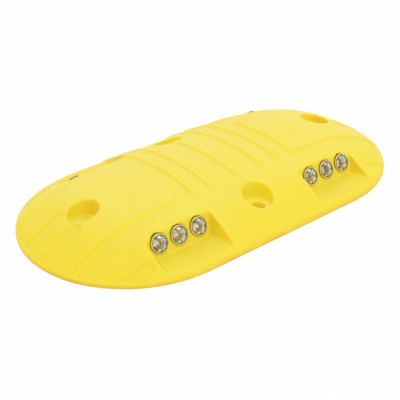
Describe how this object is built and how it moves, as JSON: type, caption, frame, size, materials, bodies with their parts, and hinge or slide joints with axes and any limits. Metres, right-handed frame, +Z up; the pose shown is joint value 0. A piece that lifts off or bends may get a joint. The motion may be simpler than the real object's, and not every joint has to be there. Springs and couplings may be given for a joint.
{
  "type": "road stud",
  "caption": "Oblong domed plastic road stud with cross bands, grooved ends, recessed anchor holes and side pockets that hold glass reflectors.",
  "frame": {"origin": "centre of the underside, on the road surface", "axes": "+X along the stud's length to the right end of the picture, -Y towards the viewer's long side, +Z up"},
  "size_m": [0.45, 0.25, 0.043],
  "materials": {
    "body": "moulded, satin",
    "holder": "bright, slightly warm",
    "mirror": "silvered",
    "lens": "clear, polished"
  },
  "bodies": {
    "root": {"body": "body", "holder_front_left_1": "holder", "mirror_front_left_1": "mirror", "lens_front_left_1": "lens", "holder_front_left_2": "holder", "mirror_front_left_2": "mirror", "lens_front_left_2": "lens", "holder_front_left_3": "holder", "mirror_front_left_3": "mirror", "lens_front_left_3": "lens", "holder_front_right_1": "holder", "mirror_front_right_1": "mirror", "lens_front_right_1": "lens", "holder_front_right_2": "holder", "mirror_front_right_2": "mirror", "lens_front_right_2": "lens", "holder_front_right_3": "holder", "mirror_front_right_3": "mirror", "lens_front_right_3": "lens", "holder_rear_left_1": "holder", "mirror_rear_left_1": "mirror", "lens_rear_left_1": "lens", "holder_rear_left_2": "holder", "mirror_rear_left_2": "mirror", "lens_rear_left_2": "lens", "holder_rear_left_3": "holder", "mirror_rear_left_3": "mirror", "lens_rear_left_3": "lens", "holder_rear_right_1": "holder", "mirror_rear_right_1": "mirror", "lens_rear_right_1": "lens", "holder_rear_right_2": "holder", "mirror_rear_right_2": "mirror", "lens_rear_right_2": "lens", "holder_rear_right_3": "holder", "mirror_rear_right_3": "mirror", "lens_rear_right_3": "lens"}
  },
  "joints": []
}
